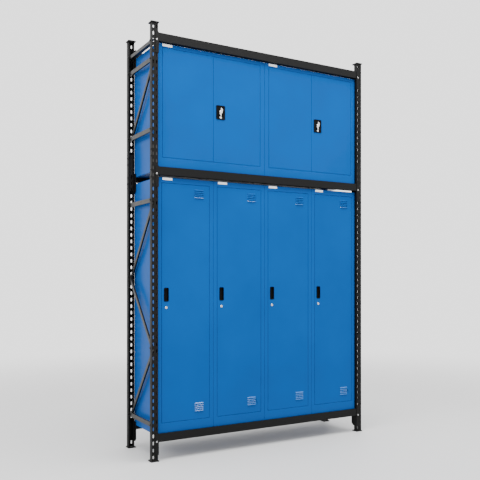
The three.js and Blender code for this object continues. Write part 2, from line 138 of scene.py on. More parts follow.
def make_floor():
    """A large pale floor that runs into the surround without an edge."""
    bpy.ops.mesh.primitive_circle_add(vertices=FLOOR["sides"], radius=FLOOR["radius"], fill_type="NGON")
    floor = bpy.context.object
    floor.name = "floor"
    material = bpy.data.materials.new("floor")
    material.use_nodes = True
    nodes, links = material.node_tree.nodes, material.node_tree.links
    shader = nodes["Principled BSDF"]
    shader.inputs["Base Color"].default_value = (FLOOR["grey"], FLOOR["grey"], FLOOR["grey"], 1)
    shader.inputs["Roughness"].default_value = FLOOR["roughness"]
    glow = nodes.new("ShaderNodeEmission")
    glow.inputs["Color"].default_value = BACKDROP
    glow.inputs["Strength"].default_value = BACKDROP_STRENGTH
    place = nodes.new("ShaderNodeNewGeometry")
    distance = nodes.new("ShaderNodeVectorMath")
    distance.operation = "LENGTH"
    fade = nodes.new("ShaderNodeMapRange")
    fade.inputs["From Min"].default_value = FLOOR["fade_from"]
    fade.inputs["From Max"].default_value = FLOOR["fade_to"]
    fade.interpolation_type = "SMOOTHSTEP"
    mix = nodes.new("ShaderNodeMixShader")
    links.new(place.outputs["Position"], distance.inputs[0])
    links.new(distance.outputs["Value"], fade.inputs["Value"])
    links.new(fade.outputs["Result"], mix.inputs["Fac"])
    links.new(shader.outputs["BSDF"], mix.inputs[1])
    links.new(glow.outputs["Emission"], mix.inputs[2])
    links.new(mix.outputs["Shader"], nodes["Material Output"].inputs["Surface"])
    floor.data.materials.append(material)


# ------------------------------------------------------------------ materials

NOISE_SPAN = (0.3, 0.7)        # where nearly all of a noise texture's values lie
BUMP_DEPTH = 0.3               # millimetres


def surface(name, colour, roughness, metallic=0.0, specular=0.5, shade=0.06, patch=2.5, grain=900,
            relief=0.05, stretch=(1, 1, 1), rough_shade=0.05):
    """A Principled surface whose colour and roughness drift in patches, over a fine-grained bump.

    shade and rough_shade say how far colour and roughness drift, patch and grain are noise scales
    per metre, and stretch draws the grain out along an axis, as on brushed or plated metal.
    """
    material = bpy.data.materials.new(name)
    material.use_nodes = True
    nodes, links = material.node_tree.nodes, material.node_tree.links
    shader = nodes["Principled BSDF"]
    shader.inputs["Metallic"].default_value = metallic
    shader.inputs["Specular IOR Level"].default_value = specular
    place = nodes.new("ShaderNodeTexCoord")
    drawn = nodes.new("ShaderNodeMapping")
    drawn.inputs["Scale"].default_value = stretch
    links.new(place.outputs["Object"], drawn.inputs["Vector"])

    def noise(scale, detail, source):
        texture = nodes.new("ShaderNodeTexNoise")
        texture.inputs["Scale"].default_value = scale
        texture.inputs["Detail"].default_value = detail
        links.new(source, texture.inputs["Vector"])
        return texture.outputs["Fac"]

    def spread(factor, low, high):
        span = nodes.new("ShaderNodeMapRange")
        span.inputs["From Min"].default_value = NOISE_SPAN[0]
        span.inputs["From Max"].default_value = NOISE_SPAN[1]
        span.inputs["To Min"].default_value = low
        span.inputs["To Max"].default_value = high
        links.new(factor, span.inputs["Value"])
        return span.outputs["Result"]

    patches = noise(patch, 3, place.outputs["Object"])
    tint = nodes.new("ShaderNodeHueSaturation")
    tint.inputs["Color"].default_value = (*colour, 1)
    links.new(spread(patches, 1 - shade, 1 + shade), tint.inputs["Value"])
    links.new(tint.outputs["Color"], shader.inputs["Base Color"])
    smears = noise(patch * 6, 4, drawn.outputs["Vector"])
    links.new(spread(smears, roughness - rough_shade, roughness + rough_shade), shader.inputs["Roughness"])
    bump = nodes.new("ShaderNodeBump")
    bump.inputs["Strength"].default_value = relief
    bump.inputs["Distance"].default_value = BUMP_DEPTH * MM
    links.new(noise(grain, 2, drawn.outputs["Vector"]), bump.inputs["Height"])
    links.new(bump.outputs["Normal"], shader.inputs["Normal"])
    return material


BLUE = (0.0, 0.052, 0.215)
MATERIALS = {
    "rack_paint": surface("rack_paint", (0.004, 0.004, 0.004), 0.46, specular=0.10, relief=0.06),
    "brace_steel": surface("brace_steel", (0.006, 0.006, 0.006), 0.34, specular=0.20, relief=0.04),
    "carcass_paint": surface("carcass_paint", BLUE, 0.30, specular=0.05, relief=0.012, rough_shade=0.02),
    "door_paint": surface("door_paint", BLUE, 0.34, specular=0.04, relief=0.015, rough_shade=0.03),
    "black_plastic": surface("black_plastic", (0.002, 0.002, 0.002), 0.48, specular=0.05, grain=2200,
                             relief=0.12),
    "chrome": surface("chrome", (0.80, 0.80, 0.80), 0.10, metallic=1, shade=0.03, relief=0.01,
                      rough_shade=0.04),
    "zinc": surface("zinc", (0.34, 0.34, 0.34), 0.32, metallic=1, patch=30, shade=0.12, relief=0.05,
                    stretch=(1, 1, 0.2)),
}
# The splices get a near-black, rougher finish of their own. This is painted shade: it stands in for the shadow in
# the posts' slots where a splice lies behind them.
SPLICE_SHADE = surface("splice_painted_shade", (0.006, 0.006, 0.006), 0.55, relief=0.08)
LOCK_FACE = surface("lock_face", (0.52, 0.50, 0.48), 0.18, metallic=1, shade=0.05, relief=0.01)
# A lighter, glossier copy of the door blue for some louvre hoods. This is a painted highlight, not a different
# finish.
LOUVRE_HIGHLIGHT = surface("louvre_painted_highlight", (0.0, 0.075, 0.28), 0.22, specular=0.55, relief=0.01)
LABEL_VINYL = surface("label_vinyl", (0.85, 0.85, 0.84), 0.40, grain=3000, relief=0.03, shade=0.02)


# ------------------------------------------------------------------ shapes

def rectangle(width, height, radius=0.0, corner=5):
    """A rectangle about the origin with round corners, as a list of (u, v)."""
    if radius <= 0:
        corner = 0
    points = []
    for turn, (su, sv) in enumerate(((1, 1), (-1, 1), (-1, -1), (1, -1))):
        centre = (su * (width / 2 - radius), sv * (height / 2 - radius))
        for i in range(corner + 1):
            angle = math.pi / 2 * (turn + (i / corner if corner else 0.5))
            points.append((centre[0] + radius * math.cos(angle), centre[1] + radius * math.sin(angle)))
    return points


def circle(radius, sides=32):
    turns = (2 * math.pi * i / sides for i in range(sides))
    return [(radius * math.cos(t), radius * math.sin(t)) for t in turns]


def hexagon(across_flats):
    return circle(across_flats / math.sqrt(3), 6)


def basis(u, v, w, origin):
    """Carries a drawn point (u, v, w) into the row frame."""
    columns = [Vector(u), Vector(v), Vector(w)]
    matrix = Matrix([[columns[j][i] for j in range(3)] for i in range(3)]).to_4x4()
    matrix.translation = Vector(origin)
    return matrix


# Each facing_ function places a drawing at a point, its w axis along the way it faces.

def facing_front(x, y, z):
    return basis((1, 0, 0), (0, 0, 1), (0, -1, 0), (x, y, z))


def facing_back(x, y, z):
    return basis((-1, 0, 0), (0, 0, 1), (0, 1, 0), (x, y, z))


def facing_side(side, x, y, z):
    return basis((0, side, 0), (0, 0, 1), (side, 0, 0), (x, y, z))


def facing_up(x, y, z):
    return basis((1, 0, 0), (0, 1, 0), (0, 0, 1), (x, y, z))


class Shape:
    """One piece's faces, drawn in millimetres and kept in metres."""

    def __init__(self):
        self.mesh = bmesh.new()

    def skin(self, rings, matrix, ends=True, closed=True):
        """Joins rings of (u, v, w) points, one after another."""
        rows = [[self.mesh.verts.new((matrix @ Vector(p)) * MM) for p in ring] for ring in rings]
        count = len(rows[0])
        steps = count if closed else count - 1
        for near, far in zip(rows, rows[1:]):
            for i in range(steps):
                j = (i + 1) % count
                self.mesh.faces.new((near[i], near[j], far[j], far[i]))
        if ends:
            self.mesh.faces.new(rows[0])
            self.mesh.faces.new(rows[-1])
        return self

    def pierced(self, outer, holes, matrix):
        """A flat face inside the outer ring, with a few openings."""
        edges = []
        for ring in (outer, *holes):
            verts = [self.mesh.verts.new((matrix @ Vector(p)) * MM) for p in ring]
            edges += [self.mesh.edges.new((a, b)) for a, b in zip(verts, verts[1:] + verts[:1])]
        bmesh.ops.triangle_fill(self.mesh, use_beauty=True, edges=edges)
        return self

    def loft(self, sections, matrix):
        """A closed body through (outline, w) sections."""
        return self.skin([[(u, v, w) for u, v in outline] for outline, w in sections], matrix)

    def plate(self, size, thickness, matrix, radius=2.0, edge=0.4):
        """A flat plate with round corners and an eased front edge."""
        inner = [s - 2 * edge for s in size]
        sections = [
            (rectangle(*size, radius), 0),
            (rectangle(*size, radius), thickness - edge),
            (rectangle(*inner, max(radius - edge, 0.1)), thickness),
        ]
        return self.loft(sections, matrix)

    def turned(self, profile, matrix, sides=32):
        """A body of revolution from (radius, w) pairs."""
        return self.loft([(circle(radius, sides), w) for radius, w in profile], matrix)

    def bolt(self, matrix, flats=13.0, height=4.0, washer=(11.0, 1.2)):
        """A hexagon head on its washer."""
        radius, thick = washer
        self.turned([(radius, 0), (radius, thick - 0.3), (radius - 0.3, thick)], matrix, 24)
        top = thick + height
        ease = flats * 0.08
        self.loft([
            (hexagon(flats), thick), (hexagon(flats), top - ease), (hexagon(flats - 2 * ease), top),
        ], matrix)
        return self

    def nut(self, matrix, start, flats, ease, height=5.2, chamfer=0.6):
        """A hexagon nut that runs inwards from w = start, with its far end eased."""
        far = start - height
        return self.loft([
            (hexagon(flats - ease), far), (hexagon(flats), far + chamfer), (hexagon(flats), start),
        ], matrix)

    def piece(self, name, body, slot=None, material=None, replaces=(), thickness=0.0, sharp=35):
        """Makes the scene object. An open skin is given its thickness, with its rims kept sharp."""
        bmesh.ops.remove_doubles(self.mesh, verts=self.mesh.verts, dist=1e-6)
        bmesh.ops.recalc_face_normals(self.mesh, faces=self.mesh.faces)
        self.mesh.edges.index_update()
        rims = [edge.index for edge in self.mesh.edges if edge.is_boundary]
        data = bpy.data.meshes.new(name)
        self.mesh.to_mesh(data)
        self.mesh.free()
        data.shade_smooth()
        data.set_sharp_from_angle(angle=math.radians(sharp))
        for index in rims:
            data.edges[index].use_edge_sharp = True
        data.materials.append(material or MATERIALS[slot])
        made = bpy.data.objects.new(name, data)
        bpy.context.scene.collection.objects.link(made)
        if thickness:
            solid = made.modifiers.new("sheet", "SOLIDIFY")
            solid.thickness = thickness * MM
            solid.offset = 0
            made.modifiers.new("flat faces", "WEIGHTED_NORMAL").keep_sharp = True
        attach(made, body)
        if replaces:
            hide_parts(*replaces)
        return made


# ------------------------------------------------------------------ carried-over CAD nodes

EASED = ("beam", "brace", "side_tie", "post_splice")
EASE = {"width": 0.55, "segments": 2, "from_angle": 50}


def dress_frame():
    """Gives every CAD node its procedural finish, and eases the edges of the rack's EASED parts."""
    slots = {entry["node"]: entry["material_slot"] for entry in frame["record"]["subparts"]}
    for name, node in frame["nodes"].items():
        # the splices take the painted-shade finish that darkens the slots in front of them
        material = SPLICE_SHADE if name.startswith("post_splice") else MATERIALS[slots[name]]
        node.data.materials.clear()
        node.data.materials.append(material)
        if name.startswith(EASED):
            edge = node.modifiers.new("edge", "BEVEL")
            edge.width = EASE["width"] * MM
            edge.segments = EASE["segments"]
            edge.limit_method = "ANGLE"
            edge.angle_limit = math.radians(EASE["from_angle"])


# ------------------------------------------------------------------ folded sheet steel

SHEET = 1.2
HALF_SHEET = SHEET / 2
BEND = 2.2             # radius of a fold, at the middle of the sheet
CORNER = 3.0           # radius of a pan's corner, seen from the front
FRAME_RETURN = 20
DOOR_LIP = 10
DOOR_GAP = 1.5
TIGHTEST_CORNER = 0.6
HAT_SHELF = {"below_top": 300, "setback": 30, "lip": 18}
CABINET_SHELF_LIP = 25
CUP_SEAT = 4.4         # how much smaller than the cup's rim its hole in the door is
CUP_HOLE_CORNER = 7
LOCK_HOLE = 9.3        # radius
SHAFT_HOLE = 4.6       # radius


def quarter(steps=4):
    """Pairs (1 - sin, 1 - cos) along a quarter turn."""
    return [(1 - math.sin(a), 1 - math.cos(a)) for a in (math.pi / 2 * k / steps for k in range(steps + 1))]


def frame_ring(x, z, inset, y):
    """A ring in the plane y, in from the limits x and z by inset, or out where that is below 0."""
    width, height = x[1] - x[0] - 2 * inset, z[1] - z[0] - 2 * inset
    radius = max(CORNER - inset, TIGHTEST_CORNER)
    middle = (x[0] + x[1]) / 2, (z[0] + z[1]) / 2
    return [(middle[0] + u, y, middle[1] + v) for u, v in rectangle(width, height, radius, 4)]


def folded_pan(shape, low, high, holes):
    """A door: a pierced face, sides folded back all round, and a lip folded in behind them."""
    x, z = (low.x, high.x), (low.z, high.z)
    face, rear = low.y + HALF_SHEET, high.y - HALF_SHEET
    rings = [frame_ring(x, z, HALF_SHEET + BEND * side, face + BEND * back) for side, back in quarter()]
    rings += [frame_ring(x, z, HALF_SHEET + BEND * back, rear - BEND * side) for side, back in quarter()]
    rings.append(frame_ring(x, z, DOOR_LIP, rear))
    shape.skin(rings, Matrix.Identity(4), ends=False)
    shape.pierced(rings[0], holes, Matrix.Identity(4))


def folded_box(shape, low, high, opening_x, opening_z):
    """A carcass: back and sides, a front frame, and the frame's edge turned in around the opening."""
    x, z = (low.x, high.x), (low.z, high.z)
    face, rear = low.y + HALF_SHEET, high.y - HALF_SHEET
    rings = [frame_ring(opening_x, opening_z, -HALF_SHEET, low.y + FRAME_RETURN)]
    rings += [frame_ring(opening_x, opening_z, -HALF_SHEET - BEND * side, face + BEND * back)
              for side, back in reversed(quarter())]
    rings += [frame_ring(x, z, HALF_SHEET + BEND * side, face + BEND * back) for side, back in quarter()]
    rings += [frame_ring(x, z, HALF_SHEET + BEND * back, rear - BEND * side) for side, back in quarter()]
    shape.skin(rings, Matrix.Identity(4), ends=False)
    shape.pierced(rings[-1], [], Matrix.Identity(4))


def folded_shelf(shape, x, y, z, front_lip, back_lip=0.0):
    """A shelf whose front edge, and back edge if asked, is folded down."""
    path = [(y[0] + HALF_SHEET, z - front_lip)]
    path += [(y[0] + HALF_SHEET + BEND * back, z - BEND * side) for side, back in quarter()]
    if back_lip:
        path += [(y[1] - HALF_SHEET - BEND * back, z - BEND * side) for side, back in reversed(quarter())]
        path.append((y[1] - HALF_SHEET, z - back_lip))
    else:
        path.append((y[1], z))
    rings = [[(at, v, w) for v, w in path] for at in x]
    shape.skin(rings, Matrix.Identity(4), ends=False, closed=False)


def cut_out(outline, x, y, z):
    """An outline in the plane y, about the place x, z."""
    return [(x + u, y, z + v) for u, v in outline]


def locker_door(name):
    """A door with holes for its cup handle, its lock and its louvres."""
    low, high = box_mm(f"{name}_door")
    cup_low, cup_high = box_mm(f"{name}_cup_handle")
    lock_x, _, lock_z = joint_mm(f"{name}_cam_lock")
    face = low.y + HALF_SHEET
    cup = rectangle(cup_high.x - cup_low.x - CUP_SEAT, cup_high.z - cup_low.z - CUP_SEAT, CUP_HOLE_CORNER)
    holes = [
        cut_out(cup, (cup_low.x + cup_high.x) / 2, face, (cup_low.z + cup_high.z) / 2),
        cut_out(circle(LOCK_HOLE), lock_x, face, lock_z),
    ]
    slit = rectangle(*LOUVRE["slit"], LOUVRE["slit_corner"], 3)
    for group in LOUVRE_GROUPS:
        for i in range(LOUVRE["count"]):
            z = low.z + group + i * LOUVRE["pitch"] + LOUVRE["slit"][1] / 2
            holes.append(cut_out(slit, high.x - LOUVRE["from_hinge"], face, z))
    shape = Shape()
    folded_pan(shape, low, high, holes)
    shape.piece(f"{name}_door_pan", f"{name}_door", slot="door_paint", replaces=[f"{name}_door"],
                thickness=SHEET)


def cabinet_door(name, leaf):
    """A door leaf. The right one has a hole for the lever's shaft."""
    low, high = box_mm(f"{name}_door_{leaf}")
    holes = []
    if leaf == "right":
        shaft_x, _, shaft_z = joint_mm(f"{name}_swing_lever")
        holes.append(cut_out(circle(SHAFT_HOLE, 20), shaft_x, low.y + HALF_SHEET, shaft_z))
    shape = Shape()
    folded_pan(shape, low, high, holes)
    shape.piece(f"{name}_door_{leaf}_pan", f"{name}_door_{leaf}", slot="door_paint",
                replaces=[f"{name}_door_{leaf}"], thickness=SHEET)


def locker_body(name):
    """The carcass with its hat shelf."""
    low, high = box_mm(f"{name}_body")
    door_low, door_high = box_mm(f"{name}_door")
    shape = Shape()
    folded_box(shape, low, high, (door_low.x - DOOR_GAP, door_high.x + DOOR_GAP),
               (door_low.z - DOOR_GAP, door_high.z + DOOR_GAP))
    folded_shelf(shape, (low.x + SHEET, high.x - SHEET), (low.y + HAT_SHELF["setback"], high.y - SHEET),
                 high.z - HAT_SHELF["below_top"], HAT_SHELF["lip"])
    shape.piece(f"{name}_carcass", "root", slot="carcass_paint", replaces=[f"{name}_body"],
                thickness=SHEET)


def cabinet_body(name):
    """The carcass, and its shelf as a piece of its own."""
    low, high = box_mm(f"{name}_body")
    left_low, left_high = box_mm(f"{name}_door_left")
    _, right_high = box_mm(f"{name}_door_right")
    shape = Shape()
    folded_box(shape, low, high, (left_low.x - DOOR_GAP, right_high.x + DOOR_GAP),
               (left_low.z - DOOR_GAP, left_high.z + DOOR_GAP))
    shape.piece(f"{name}_carcass", "root", slot="carcass_paint", replaces=[f"{name}_body"],
                thickness=SHEET)
    shelf_low, shelf_high = box_mm(f"{name}_shelf")
    shelf = Shape()
    folded_shelf(shelf, (shelf_low.x, shelf_high.x), (shelf_low.y, shelf_high.y),
                 shelf_high.z - HALF_SHEET, CABINET_SHELF_LIP, CABINET_SHELF_LIP)
    shelf.piece(f"{name}_shelf_board", "root", slot="carcass_paint", replaces=[f"{name}_shelf"],
                thickness=SHEET)


# ------------------------------------------------------------------ slotted posts

POST = {"web": 50, "flank": 38, "lip": 10, "sheet": 2, "bend": 2.4}
SLOT = {"pitch": 50, "first": 32.5, "width": 10, "height": 26, "edge": 12}
END_PLATE = {"thickness": 8, "margin": 6, "corner": 4}     # the margin is outside the post
RACK_SIDE = CAD_BOX[1][0] / MM - END_PLATE["margin"]       # the posts' outer flanks
RACK_FACE = CAD_BOX[1][1] / MM - END_PLATE["margin"]       # the posts' webs


def obround(width, height, steps=5):
    """A slot outline with round ends."""
    radius = width / 2
    rise = height / 2 - radius
    angles = [math.pi * i / steps for i in range(steps + 1)]
    top = [(radius * math.cos(a), rise + radius * math.sin(a)) for a in angles]
    return top + [(-u, -v) for u, v in top]


def corner_matrix(side, end):
    """From a post's own place (in from its outer side, in from its web, height) to the row frame."""
    return Matrix((
        (-side, 0, 0, side * RACK_SIDE),
        (0, -end, 0, end * RACK_FACE),
        (0, 0, 1, 0),
        (0, 0, 0, 1),
    ))


def slotted_length(shape, matrix, low, high):
    """One length of a post: a slotted web, a fold and a flank on each side, and a lip along each flank.

    The web is made of cells, each as high as the slots' pitch and half as wide as the web.
    """
    half, bend = POST["sheet"] / 2, POST["bend"]
    web, flank, lip = POST["web"], POST["flank"], POST["lip"]
    inner = half + bend
    middle = SLOT["first"] + math.ceil((low - SLOT["first"]) / SLOT["pitch"] - 0.5) * SLOT["pitch"]
    rows = []
    while middle - SLOT["pitch"] / 2 < high:
        bottom = max(middle - SLOT["pitch"] / 2, low)
        top = min(middle + SLOT["pitch"] / 2, high)
        if top > bottom:
            rows.append((bottom, middle, top))
        middle += SLOT["pitch"]
    for bottom, middle, top in rows:
        fits = middle - SLOT["height"] / 2 > bottom and middle + SLOT["height"] / 2 < top
        halves = ((inner, web / 2, SLOT["edge"]), (web / 2, web - inner, web - SLOT["edge"]))
        for left, right, slot_x in halves:
            cell = [(left, half, bottom), (right, half, bottom), (right, half, top), (left, half, top)]
            slot = [(slot_x + u, half, middle + v) for u, v in obround(SLOT["width"], SLOT["height"])]
            shape.pierced(cell, [slot] if fits else [], matrix)
    levels = [rows[0][0]] + [top for _, _, top in rows]
    for mirrored in (False, True):
        path = [(half + bend * side, half + bend * back) for side, back in quarter()]
        path += [(half + bend * back, flank - half - bend * side) for side, back in quarter()]
        path.append((lip, flank - half))
        if mirrored:
            path = [(web - x, y) for x, y in path]
        rings = [[(x, y, level) for x, y in path] for level in levels]
        shape.skin(rings, matrix, ends=False, closed=False)


def post(end_name, end, side_name, side):
    """A corner post in two lengths, with a plate welded on at the foot and at the head."""
    matrix = corner_matrix(side, end)
    thick = END_PLATE["thickness"]
    for length in ("lower", "upper"):
        node = f"post_{end_name}_{side_name}_{length}"
        low, high = box_mm(node)
        foot = thick if length == "lower" else 0
        head = thick if length == "upper" else 0
        shape = Shape()
        slotted_length(shape, matrix, low.z + foot, high.z - head)
        shape.piece(f"{node}_section", "root", slot="rack_paint", replaces=[node], thickness=POST["sheet"])
        plate_z = low.z if length == "lower" else high.z - thick
        size = high.x - low.x, high.y - low.y
        middle = facing_up((low.x + high.x) / 2, (low.y + high.y) / 2, plate_z)
        plate = Shape().plate(size, thick, middle, radius=END_PLATE["corner"], edge=0.8)
        plate.piece(f"{node}_plate", "root", slot="rack_paint")


# ------------------------------------------------------------------ rack hardware

OUTER_LAYER = 11       # how far in from a post's outer flank the outer braces' webs lie
INNER_LAYER = 24.5     # and the inner ones'
BRACE_SHEET = 1.5
TOP_TIE_HEIGHT = 2987.5
# Each brace bolt's height, and the layer of the last brace on it.
BRACE_BOLTS = {
    "front": ((256, OUTER_LAYER), (804, INNER_LAYER), (1856, INNER_LAYER), (2361, OUTER_LAYER),
              (2861, INNER_LAYER), (TOP_TIE_HEIGHT, OUTER_LAYER)),
    "back": ((256, INNER_LAYER), (1309, INNER_LAYER), (1856, OUTER_LAYER), (2361, INNER_LAYER),
             (2861, OUTER_LAYER), (TOP_TIE_HEIGHT, OUTER_LAYER)),
}
# Insets are from the post's web. A bolt's end is past the brace's web, or past the post's flank.
BRACE_BOLT = {"inset": 31.5, "radius": 3.0, "end": 8, "flats": 10, "ease": 0.8, "collar": 5.5}
SPLICE_BOLT = {"inset": 19, "radius": 4.0, "end": 10, "flats": 12, "ease": 1.0, "nut_from": 4.4}
SPLICE_BOLTS = (-88.5, -39.5, 59.5, 107.5)     # from the joint between a post's two lengths
CONNECTOR_DROP = 88    # how far a beam's connectors reach below its underside
PIN_ABOVE_BEAM = 5


def side_bolts():
    """The braces' and splices' bolts: a head on the post's outer flank, and a shank and nut inside.

    A brace's bolt also has a spacer between the flank and the outermost brace it carries.
    """
    for side_name, side in SIDES:
        for end_name, end in ENDS:
            _, joint = box_mm(f"post_{end_name}_{side_name}_lower")
            flank = side * RACK_SIDE
            shape = Shape()
            for z, layer in BRACE_BOLTS[end_name]:
                place = facing_side(side, flank, end * (RACK_FACE - BRACE_BOLT["inset"]), z)
                web = -layer - BRACE_SHEET
                shank, collar = BRACE_BOLT["radius"], BRACE_BOLT["collar"]
                shape.bolt(place, flats=BRACE_BOLT["flats"], height=3.6, washer=(8.0, 1.2))
                shape.turned([(shank, web - BRACE_BOLT["end"]), (shank, 0.5)], place, 16)
                spacer = [(shank, -layer), (collar, -layer + 0.2), (collar, -2.2), (shank, -2.0)]
                shape.turned(spacer, place, 20)
                shape.nut(place, web, BRACE_BOLT["flats"], BRACE_BOLT["ease"])
            for z in SPLICE_BOLTS:
                place = facing_side(side, flank, end * (RACK_FACE - SPLICE_BOLT["inset"]), joint.z + z)
                shank = SPLICE_BOLT["radius"]
                shape.bolt(place, flats=SPLICE_BOLT["flats"], height=3.8, washer=(9.0, 1.2))
                shape.turned([(shank, -SPLICE_BOLT["end"]), (shank, 0.5)], place, 16)
                shape.nut(place, -SPLICE_BOLT["nut_from"], SPLICE_BOLT["flats"], SPLICE_BOLT["ease"])
            shape.piece(f"side_bolts_{end_name}_{side_name}", "root", slot="brace_steel")


def beam_pins():
    """A domed locking pin at each end of each beam, over the inner column of slots."""
    profile = [(6.5, 0), (6.5, 0.8), (5.7, 1.7), (3.8, 2.3), (1.0, 2.6)]
    for end_name, end in ENDS:
        for level in ("bottom", "middle", "top"):
            low, high = box_mm(f"beam_{end_name}_{level}")
            face = high.y if end > 0 else low.y
            facing = facing_back if end > 0 else facing_front
            underside = low.z + CONNECTOR_DROP
            shape = Shape()
            for _, side in SIDES:
                x = side * (RACK_SIDE - POST["web"] + SLOT["edge"])
                shape.turned(profile, facing(x, face, underside + PIN_ABOVE_BEAM), 24)
            shape.piece(f"pins_{end_name}_{level}", "root", slot="zinc")


# ------------------------------------------------------------------ locker doors

HOOD = {"width": 76.0, "reach": 6.0, "rise": 8.0, "taper": 9.0, "lip": 1.2, "sheet": 1.0}
HOOD_AT_END = 0.35     # share of its rise that a hood keeps at its ends
LOUVRE = {"count": 5, "slit": (72, 5), "slit_corner": 1.2, "pitch": 13.5, "from_hinge": 85, "drop": 1.5}
LOUVRE_GROUPS = (62, 1628)     # each group's lowest slit, above the door's lower edge


def hood(shape, matrix):
    """A pressed hood: it slants out from the sheet above its slot to a lip that turns down."""
    across = 20
    half = HOOD["width"] / 2
    profile = ((0.0, 1.0), (0.12, 0.86), (0.88, 0.14), (1.0, 0.0), (1.0, -HOOD["lip"] / HOOD["rise"]))
    rings = []
    for i in range(across + 1):
        u = half * math.sin(math.pi / 2 * (2 * i / across - 1))
        into = max(0.0, (abs(u) - half + HOOD["taper"]) / HOOD["taper"])
        swell = math.sqrt(max(0.0, 1 - into * into))
        height = HOOD["rise"] * (HOOD_AT_END + (1 - HOOD_AT_END) * swell)
        rings.append([(u, height * up, HOOD["reach"] * swell * out) for out, up in profile])
    shape.skin(rings, matrix, ends=False, closed=False)


def louvres(name):
    """Two groups of hoods, all pressed alike.

    The lower group and the lowest hood of the upper one get a lighter, glossier copy of the door
    blue. This is a painted highlight that stands in for the light their upper faces catch.
    """
    low, high = box_mm(f"{name}_door")
    shining, plain = Shape(), Shape()
    for group in LOUVRE_GROUPS:
        for i in range(LOUVRE["count"]):
            z = low.z + group + i * LOUVRE["pitch"]
            shape = shining if group == LOUVRE_GROUPS[0] or i == 0 else plain
            hood(shape, facing_front(high.x - LOUVRE["from_hinge"], low.y, z - LOUVRE["drop"]))
    # the shining hoods take the painted-highlight blue
    shining.piece(f"{name}_louvres_shining", f"{name}_door", slot="door_paint", material=LOUVRE_HIGHLIGHT,
                  thickness=HOOD["sheet"])
    plain.piece(f"{name}_louvres_plain", f"{name}_door", slot="door_paint", thickness=HOOD["sheet"])


CUP_CORNER = 9.0


def cup_handle(name):
    """A moulded cup with a rolled rim, hollow towards the front."""
    low, high = box_mm(f"{name}_cup_handle")
    door_low, _ = box_mm(f"{name}_door")
    x, z = (low.x + high.x) / 2, (low.z + high.z) / 2
    width, height = high.x - low.x, high.z - low.z
    depth = high.y - door_low.y

    def ring(inset, w):
        radius = max(CUP_CORNER - inset, 1.0)
        return rectangle(width - 2 * inset, height - 2 * inset, radius, 6), w

    sections = [
        ring(3.0, -depth), ring(2.7, 0.4), ring(0, 0.4), ring(0, 1.6), ring(0.9, 2.3), ring(2.6, 2.3),
        ring(4.2, 1.2), ring(5.0, -depth * 0.5), ring(6.5, -depth + 2.6), ring(9.0, -depth + 1.5),
    ]
    shape = Shape().loft(sections, facing_front(x, door_low.y, z))
    shape.piece(f"{name}_cup", f"{name}_door", slot="black_plastic", replaces=[f"{name}_cup_handle"])


def keyway(shape, matrix, width=1.6, height=9.0, border=0.8, proud=0.25, sunk=1.6):
    """A key slot with a raised border."""
    outer = rectangle(width + 2 * border, height + 2 * border, 1.4)
    inner = rectangle(width, height, 0.7)
    shape.loft([(outer, 0), (outer, proud), (inner, proud), (inner, -sunk)], matrix)


CAM_LOCK = {"face": 2.7, "nut": 21, "nut_from": 6.5, "nut_to": 9.5, "cam": (12.0, 2.3), "cam_corner": 5.0}


def cam_lock(name):
    """A cylinder with a keyed face, its nut behind the door, and the cam at its end."""
    low, high = box_mm(f"{name}_cam_lock")
    x, y, z = joint_mm(f"{name}_cam_lock")
    front = facing_front(x, y, z)
    back = y - high.y
    shape = Shape()
    shape.turned([
        (8.7, back + 2.8), (8.7, 0.3), (9.8, 0.3), (9.8, 2.0), (9.0, 2.9), (7.4, 3.2),
        (7.2, CAM_LOCK["face"]),
    ], front)
    keyway(shape, facing_front(x, y - CAM_LOCK["face"], z))
    nut = hexagon(CAM_LOCK["nut"])
    shape.loft([(nut, back + CAM_LOCK["nut_from"]), (nut, back + CAM_LOCK["nut_to"])], front)
    width, thick = CAM_LOCK["cam"]
    cam = facing_front(x, y - back, (high.z + low.z) / 2)
    shape.plate((width, high.z - low.z), thick, cam, radius=CAM_LOCK["cam_corner"])
    shape.piece(f"{name}_lock", f"{name}_cam_lock", slot="chrome", material=LOCK_FACE,
                replaces=[f"{name}_cam_lock"])


# ------------------------------------------------------------------ cabinet locks

KEY_LOCK_BELOW_SHAFT = 41
KEY_LOCK_FACE = 5.8    # in front of the door's face
PLATE_CORNER = 8.0
PLATE_SHARP = 15       # a flatter angle than elsewhere, so that the rim's shallow steps stay crisp
LEVER = {"half_length": 29.5, "half_width": 8.6, "sway": 6.0, "taper": 0.38, "round_from": 0.8}
LEVER_STEPS = 12       # along each half


def handle_plate(name):
    """A plate with a raised rim around the field in which the lever lies, and a key lock."""
    low, high = box_mm(f"{name}_handle_plate")
    door_low, _ = box_mm(f"{name}_door_right")
    x, z = (low.x + high.x) / 2, (low.z + high.z) / 2
    width, height = high.x - low.x, high.z - low.z

    def ring(inset, w):
        return rectangle(width - 2 * inset, height - 2 * inset, max(PLATE_CORNER - inset, 1.5), 6), w

    sections = [
        ring(0, 0.3), ring(0, 3.4), ring(0.9, 4.2), ring(6.5, 4.2), ring(7.8, 3.8), ring(9.5, 2.3),
    ]
    shape = Shape().loft(sections, facing_front(x, door_low.y, z))
    shape.piece(f"{name}_plate", f"{name}_door_right", slot="black_plastic",
                replaces=[f"{name}_handle_plate"], sharp=PLATE_SHARP)
    shaft_x, _, shaft_z = joint_mm(f"{name}_swing_lever")
    lock_z = shaft_z - KEY_LOCK_BELOW_SHAFT
    lock = Shape()
    lock.turned([(8.6, 2.0), (8.6, 5.4), (7.9, 6.1), (6.3, 6.2), (6.1, KEY_LOCK_FACE)],
                facing_front(shaft_x, door_low.y, lock_z))
    keyway(lock, facing_front(shaft_x, door_low.y - KEY_LOCK_FACE, lock_z), height=7.5)
    lock.piece(f"{name}_key_lock", f"{name}_door_right", slot="chrome")


